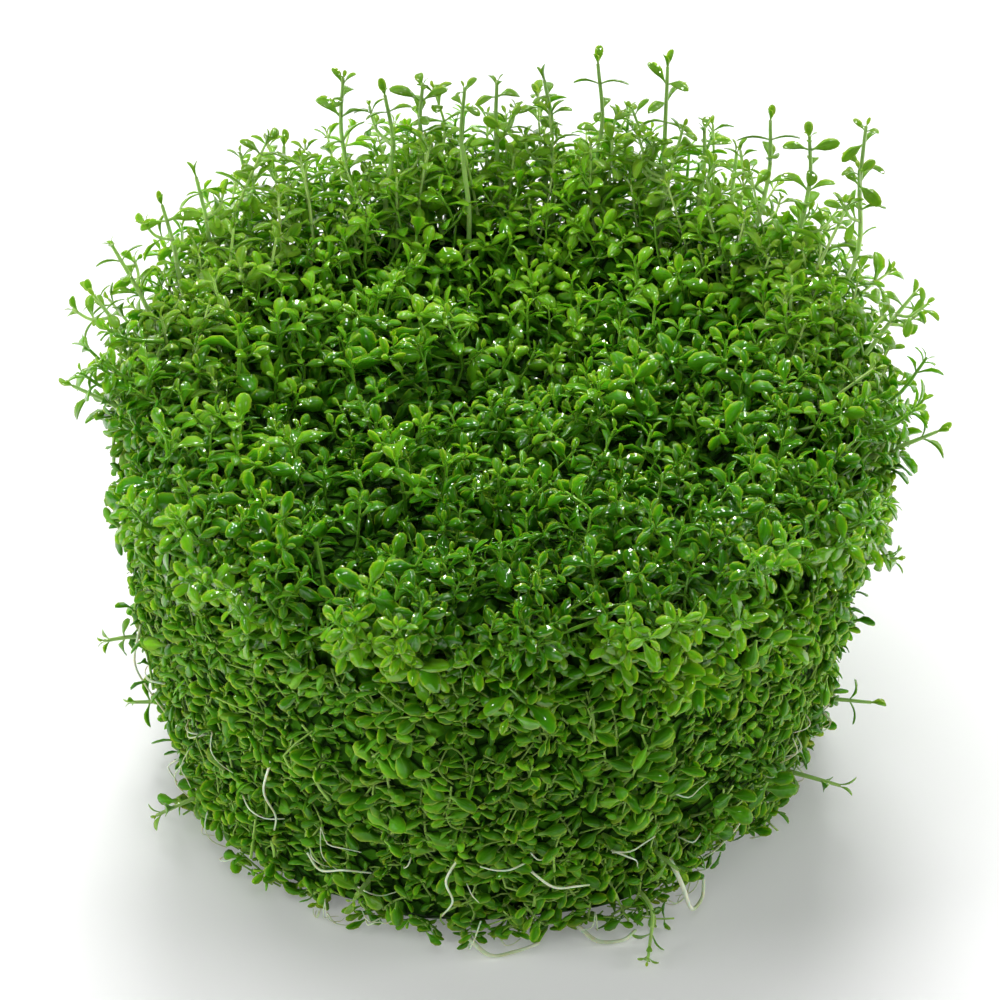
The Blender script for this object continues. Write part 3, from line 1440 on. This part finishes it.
# foot (x, y) and tip (x, y, z) in millimetres
tallShoots = {
    "back_01": ((-21.0, 18.0), (-24.5, 25.0, 51.0)),
    "back_02": ((-17.5, 21.0), (-20.5, 27.0, 50.5)),
    "back_03": ((-14.0, 24.0), (-15.0, 32.5, 54.6)),
    "back_04": ((-9.5, 25.0), (-11.0, 29.5, 54.6)),
    "back_05": ((-5.5, 27.0), (-7.5, 32.5, 54.0)),
    "back_06": ((-3.5, 23.5), (-3.5, 27.0, 57.0)),
    "back_07": ((0.0, 27.5), (-0.5, 33.0, 54.0)),
    "back_08": ((6.0, 27.0), (4.0, 33.0, 54.0)),
    "back_09": ((9.0, 26.0), (9.0, 32.0, 56.5)),
    "back_10": ((14.5, 23.0), (15.5, 30.0, 57.4)),
    "back_11": ((17.5, 21.0), (19.0, 28.0, 52.0)),
    "right_01": ((20.0, 18.5), (22.0, 26.0, 50.5)),
    "right_02": ((22.0, 16.0), (25.0, 24.5, 55.0)),
    "right_03": ((24.0, 13.5), (28.5, 21.0, 55.5)),
    "right_04": ((26.0, 8.5), (33.5, 18.0, 58.5)),
    "right_05": ((27.5, 3.0), (38.0, 8.5, 46.5)),
    "left_01": ((-23.5, 14.5), (-28.5, 21.0, 51.0)),
    "left_02": ((-25.5, 10.5), (-31.5, 17.0, 50.5)),
    "left_03": ((-27.0, 6.0), (-36.0, 12.0, 49.5)),
    "left_04": ((-27.5, 2.5), (-37.5, 8.0, 46.5)),
}
# what isn't usual: how much a shoot leans out before it turns up, how far down its leaves grow, twigs
outwardBow = {"right_04": 0.55, "right_03": 0.4, "left_03": 0.1, "left_04": 0.1, "right_05": 0.1}
leafReach = {"back_06": 3.5}
twigCount = {"back_05": 4, "back_06": 0, "back_07": 2, "back_09": 4, "back_10": 5, "right_04": 2}
tallForm = {
    "footHeight": 36.0,
    "tipRoom": 0.9,                     # the end leaves reach this far past the stem
    "sway": 1.2,
    "bends": ((0.35, 0.6), (0.7, -0.5)),    # where along the stem, and how much of the sway
    "bow": 0.25,
    "leavesFrom": 42.0,
    "leafReach": (1.1, 2.0),            # of the height above that, and more
}
# azimuth in degrees, height, reach and rise of the tip
sideSprigs = {
    "left_high": (184, 39.0, 3.6, 4.0),
    "left_middle": (188, 15.0, 4.0, 0.8),
    "left_low": (182, 4.5, 4.6, 1.0),
    "left_foot": (206, 4.0, 4.0, -0.6),
    "front_left": (247, 6.0, 3.4, 0.4),
    "front_right": (298, 8.0, 3.4, 0.6),
    "right_foot": (340, 4.0, 4.6, -0.4),
    "right_low": (349, 8.5, 5.0, 1.2),
    "right_middle": (358, 21.0, 4.0, 1.4),
    "right_high": (355, 35.0, 3.8, 3.4),
    "back_left": (130, 18.0, 4.2, 1.4),
    "back_right": (62, 12.0, 4.2, 1.0),
}
sprigForm = {
    "inside": -3.0,     # the foot stands this deep in the wall
    "tipRoom": 0.6,
    "wobble": (0.5, 0.5, 0.6),
    "leafReach": 5.0,
    "size": 0.95,
    "ages": (0.3, 0.8),
}
# the sprig that lies loose in front of the foot: on the wall, then clear of it
trailingSprig = {
    "onWall": ((295, 3.6, -2.0), (295, 3.2, 1.4)),
    "clear": ((13.4, -31.6, 0.9), (13.2, -33.4, 0.8)),
    "leafReach": 6.0,
    "size": 0.75,
    "ages": (0.3, 0.8),
}


def finishPiece(name, node, soup, material):
    mesh = soupMesh(name, soup)
    restOnFloor(mesh, floorRest["piece"])
    spreadCells(mesh)
    claim(newObject(name, mesh, material), node)


def growTall(name, foot, tip, number):
    rng = random.Random(seeds["tallSway"] + number)
    foot = Vector((*foot, tallForm["footHeight"]))
    tip = Vector(tip) - Vector((0, 0, tallForm["tipRoom"]))
    sway = Vector((either(rng, tallForm["sway"]), either(rng, tallForm["sway"]), 0))
    points = [foot]
    for share, bend in tallForm["bends"]:
        bow = outwardBow.get(name, tallForm["bow"]) * math.sin(math.pi * share)
        place = foot.lerp(tip, min(1.0, share + bow)) + sway * bend
        place.z = foot.z + (tip.z - foot.z) * share
        points.append(place)
    share, more = tallForm["leafReach"]
    reach = leafReach.get(name, (tip.z - tallForm["leavesFrom"]) * share + more)
    soup = emptySoup()
    growShoot(soup, [*points, tip], seeds["tall"] + number, reach,
              twigs=twigCount.get(name, 1 + number % 2))
    finishPiece("grown_" + name, "tall_shoot_" + name, soup, leafMaterials["shootLeaf"])


def growSprig(name, azimuth, height, reach, rise, number):
    rng = random.Random(seeds["sprigSway"] + number)
    foot = onWall(azimuth, height, sprigForm["inside"])
    tip = onWall(azimuth, height, reach - sprigForm["tipRoom"]) + Vector((0, 0, rise))
    middle = foot.lerp(tip, 0.5) + Vector([either(rng, wobble) for wobble in sprigForm["wobble"]])
    soup = emptySoup()
    growShoot(soup, [foot, middle, tip], seeds["sprig"] + number, sprigForm["leafReach"],
              sprigForm["size"], sprigForm["ages"])
    finishPiece("grown_sprig_" + name, "side_sprig_" + name, soup, leafMaterials["shootLeaf"])


def growTrailing():
    soup = emptySoup()
    points = [*(onWall(*place) for place in trailingSprig["onWall"]), *trailingSprig["clear"]]
    growShoot(soup, points, seeds["trailing"], trailingSprig["leafReach"], trailingSprig["size"],
              trailingSprig["ages"])
    finishPiece("grown_trailing_sprig", "trailing_sprig", soup, leafMaterials["shootLeaf"])


for number, (name, (foot, tip)) in enumerate(tallShoots.items()):
    growTall(name, foot, tip, number)
for number, (name, sprig) in enumerate(sideSprigs.items()):
    growSprig(name, *sprig, number)
growTrailing()

# roots along the wall as (azimuth, height), and thicker ones that curl clear of it at the foot as
# (azimuth, height, distance from the wall)
wallRoots = {
    "root_left": ((194, 20.0), (195, 16.5), (194, 13.0), (196, 10.0)),
    "root_front_left": ((232, 18.5), (231, 15.0), (232, 12.0), (230, 9.0)),
    "root_cross_left": ((236, 8.0), (240, 7.5), (244, 8.2), (248, 7.8)),
    "root_fork_long": ((263, 11.5), (261, 9.0), (262, 6.5), (260, 4.0)),
    "root_front_right": ((274, 10.5), (278, 8.8), (282, 8.2), (286, 7.0)),
    "root_right_long": ((316, 11.0), (314, 8.5), (311, 6.0), (308, 4.5)),
}
curledRoots = {
    "root_curl_upper": ((300, 7.0, -0.6), (301, 4.5, 1.2), (302, 2.2, 2.2),
                        (304, 1.0, 2.6), (306, 1.6, 2.0), (307, 3.0, 1.2)),
    "root_curl_lower": ((283, 1.6, -0.6), (286, 0.5, 1.8), (290, 0.4, 2.4), (293, 0.5, 1.6)),
    "root_curl_front": ((264, 1.6, -0.6), (268, 0.4, 1.8), (272, 0.4, 1.6), (276, 1.0, 1.0)),
}
rootForm = {
    "offs": (-0.4, 0.8, 0.7, -0.1),     # of a root along the wall, which starts and ends in the mat
    "wallRadius": (0.13, 0.08),
    "curledRadius": (0.24, 0.15),
}


def growRoot(node, points, radius, endRadius):
    soup = emptySoup()
    path = smoothPath([p * mm for p in points], steps=6)
    addStem(soup, path, pathFrames(path), radius * mm, endRadius * mm, age=0.0, sides=7)
    finishPiece("grown_" + node, node, soup, rootMaterial)


for node, places in wallRoots.items():
    points = [onWall(azimuth, height, off) for (azimuth, height), off in zip(places, rootForm["offs"])]
    growRoot(node, points, *rootForm["wallRadius"])
for node, places in curledRoots.items():
    growRoot(node, [onWall(*place) for place in places], *rootForm["curledRadius"])

fineRoots = {
    "count": 90,
    "height": (1.0, 19.0),
    "lowPower": 1.8,             # a higher power puts more of them low down
    "length": (1.6, 5.0),
    "heading": (-math.pi, 0.2),
    "off": (0.5, 1.1),
    "offRange": (-0.1, 0.25),
    "sunk": (1.0, 0.0, 0.1, 0.7),
    "radius": (0.06, 0.10),
    "taper": 0.6,
    "forkShare": 0.35,
    "forkTurn": 0.9,
    "wander": 0.6,
    "lowest": 0.3,
    "wallRadius": 33,
}


def makeFineRoots():
    # hair-thin roots that lie on the wall, more of them low down
    rng = random.Random(seeds["fineRoots"])
    soup = emptySoup()
    form = fineRoots
    low, high = form["height"]
    for _ in range(form["count"]):
        azimuth, height = rng.uniform(0, 360), low + (high - low) * rng.random() ** form["lowPower"]
        length, heading = rng.uniform(*form["length"]), rng.uniform(*form["heading"])
        off, radius = rng.uniform(*form["off"]), rng.uniform(*form["radius"])
        for fork in range(2 if rng.random() < form["forkShare"] else 1):
            places = []
            turn, a, z = heading + fork * either(rng, form["forkTurn"]), azimuth, height
            for sunk in form["sunk"]:
                clear = off + rng.uniform(*form["offRange"]) - sunk
                places.append(onWall(a, max(form["lowest"], z), clear) * mm)
                a += math.degrees(math.cos(turn) * length / 3 / form["wallRadius"])
                z += math.sin(turn) * length / 3
                turn += either(rng, form["wander"])
            path = smoothPath(places, steps=3)
            addStem(soup, path, pathFrames(path), radius * mm, radius * form["taper"] * mm, age=0.0,
                    sides=4)
    return soup


finishPiece("fine_roots", "leaf_mat", makeFineRoots(), rootMaterial)

# fresh tips that lean out over the top of the wall, in clusters
freshTips = {
    "pairs": [
        (0.1, 1.2, 56, 0.04, "near"),
        (0.6, 2.1, 30, 0.10, "near"),
        (2.0, 2.7, 14, 0.22, "near"),
        (3.9, 2.7, 4, 0.42, "near"),
    ],
    "widthRange": (0.37, 0.50),
    "stem": 0.24,
    "stemTaper": 0.6,
    "stemAge": 0.2,
    "scatter": 20,
    "heightRange": 2.5,
    "inside": -3.0,     # the foot stands this deep in the wall
    "tipTurn": 3,
    "stretch": (0.8, 1.12),
    "middle": 0.55,     # where the stem bends, and how far it hangs there as a share of the rise
    "hang": 0.25,
    # how far out and up the tips stand
    "shoulder": ((0.4, 2.4), (1.5, 5.0)),
    "behind": ((0.2, 2.2), (3.5, 6.0)),
    # (azimuth, height), shoots, how far round they spread in degrees, how they stand
    "clusters": [
        ((250, 35.0), 10, 9, "shoulder"),
        ((293, 35.0), 8, 7, "shoulder"),
        ((308, 38.5), 6, 6, "shoulder"),
        ((331, 36.5), 8, 8, "shoulder"),
        ((215, 37.0), 8, 9, "shoulder"),
        ((232, 35.0), 5, 7, "shoulder"),
        ((178, 42.5), 6, 7, "shoulder"),
        ((356, 40.0), 4, 8, "shoulder"),
        ((150, 36.0), 5, 10, "shoulder"),
        ((62, 35.0), 5, 10, "shoulder"),
        ((30, 37.0), 5, 9, "shoulder"),
        ((98, 41.0), 8, 9, "behind"),
        ((66, 41.0), 5, 7, "behind"),
    ],
}


def makeFreshTips():
    rng = random.Random(seeds["freshTips"])
    soup = emptySoup()
    form, stem = freshTips, freshTips["stem"] * mm
    for (azimuth, height), count, spread, stand in form["clusters"]:
        reach, climb = form[stand]
        for _ in range(count):
            a = azimuth + either(rng, spread)
            z = height + either(rng, form["heightRange"])
            foot = onWall(a, z, form["inside"])
            rise = rng.uniform(*climb)
            tip = onWall(a + either(rng, form["tipTurn"]), z, rng.uniform(*reach)) + Vector((0, 0, rise))
            middle = foot.lerp(tip, form["middle"]) - Vector((0, 0, rise * form["hang"]))
            path = smoothPath([foot * mm, middle * mm, tip * mm], steps=3)
            frames = pathFrames(path)
            addStem(soup, path, frames, stem, stem * form["stemTaper"], form["stemAge"], sides=5)
            stretch = rng.uniform(*form["stretch"])
            pairs = [(below * stretch, length * stretch, *rest) for below, length, *rest in form["pairs"]]
            addShootLeaves(soup, path, frames, pairs, rng, form["widthRange"], form["scatter"])
    return soup


finishPiece("fresh_tips", "leaf_mat", makeFreshTips(), leafMaterials["crownLeaf"])
print("shoots, sprigs and roots made")


# Floor, light and camera

studio = {
    "target": (-0.0002, 0.0, 0.0282),
    "distance": 0.60,
    "elevation": 36.0,
    "lens": 233.5,
    "floorSize": 1.6,
    "floor": (0.86, 0.86, 0.86, 1.0),
    "floorRoughness": 0.9,
    "floorGlow": 0.15,      # the table is lit from below
    "white": (1.0, 1.0, 1.0, 1.0),
    "backdrop": 1.0,
    "ambient": 0.034,
    "glossyAmbient": 0.0005,
    "sensor": 36.0,
    "clipStart": 0.01,
    # name: (place, size, power, lights softly or only glints on wet leaves)
    "lights": {
        "overhead": ((-0.12, 0.24, 0.78), 0.45, 3.2, "soft"),
        "frontTop": ((0.0, -0.42, 0.72), 0.45, 1.1, "soft"),
        "left": ((-0.80, -0.10, 0.22), 0.35, 3.9, "soft"),
        "right": ((0.80, -0.05, 0.20), 0.35, 3.4, "soft"),
        "front": ((-0.10, -0.80, 0.24), 0.35, 0.9, "soft"),
        "behind": ((0.0, 0.70, 0.50), 0.35, 5.6, "soft"),
        "glintBack": ((0.05, 0.66, 0.48), 0.09, 1.4, "glint"),
        "glintBackLeft": ((-0.38, 0.56, 0.50), 0.09, 1.4, "glint"),
        "glintBackRight": ((0.40, 0.55, 0.46), 0.09, 1.4, "glint"),
        "glintHigh": ((0.12, 0.40, 0.72), 0.09, 1.4, "glint"),
        "glintTop": ((-0.10, 0.10, 0.85), 0.09, 1.4, "glint"),
        "glintLeft": ((-0.60, -0.20, 0.55), 0.09, 1.4, "glint"),
        "glintRight": ((0.58, -0.15, 0.60), 0.09, 1.4, "glint"),
    },
}


def makeFloor():
    bpy.ops.mesh.primitive_plane_add(size=studio["floorSize"])
    floor = bpy.context.object
    floor.name = "floor"
    material, tree, shader = newMaterial("floorPaper")
    setShader(tree, shader, {
        "Base Color": studio["floor"],
        "Emission Color": studio["white"],
        "Emission Strength": studio["floorGlow"],
        "Roughness": studio["floorRoughness"],
    })
    floor.data.materials.append(material)


def makeWorld(scene):
    world = bpy.data.worlds.new("studioWorld")
    world.use_nodes = True
    tree = world.node_tree
    # mirrored in the leaves the room is dark, so that they keep their colour
    rays = put(tree, "ShaderNodeLightPath")
    dim = mapRange(tree, out(rays, "Is Glossy Ray"), 0.0, 1.0, studio["ambient"], studio["glossyAmbient"])
    strength = mapRange(tree, out(rays, "Is Camera Ray"), 0.0, 1.0, dim, studio["backdrop"])
    setShader(tree, tree.nodes["Background"], {"Color": studio["white"], "Strength": strength})
    scene.world = world


def makeLights(scene, target):
    for name, (place, size, power, use) in studio["lights"].items():
        light = bpy.data.lights.new(name, "AREA")
        light.size = size
        light.energy = power
        lamp = bpy.data.objects.new(name, light)
        lamp.location = place
        lamp.visible_glossy = use == "glint"
        lamp.visible_diffuse = use == "soft"
        lamp.rotation_euler = (target - Vector(place)).to_track_quat("-Z", "Y").to_euler()
        scene.collection.objects.link(lamp)


def makeCamera(scene, target):
    camera = bpy.data.cameras.new("camera")
    camera.lens = studio["lens"]
    camera.sensor_width = studio["sensor"]
    camera.clip_start = studio["clipStart"]
    holder = bpy.data.objects.new("camera", camera)
    rise = math.radians(studio["elevation"])
    away = Vector((0, -math.cos(rise), math.sin(rise)))
    holder.location = target + away * studio["distance"]
    holder.rotation_euler = (-away).to_track_quat("-Z", "Y").to_euler()
    scene.collection.objects.link(holder)
    scene.camera = holder


def makeStudio():
    scene = bpy.context.scene
    scene.view_settings.view_transform = "Standard"
    target = Vector(studio["target"])
    makeFloor()
    makeWorld(scene)
    makeLights(scene, target)
    makeCamera(scene, target)


makeStudio()
print("studio made")
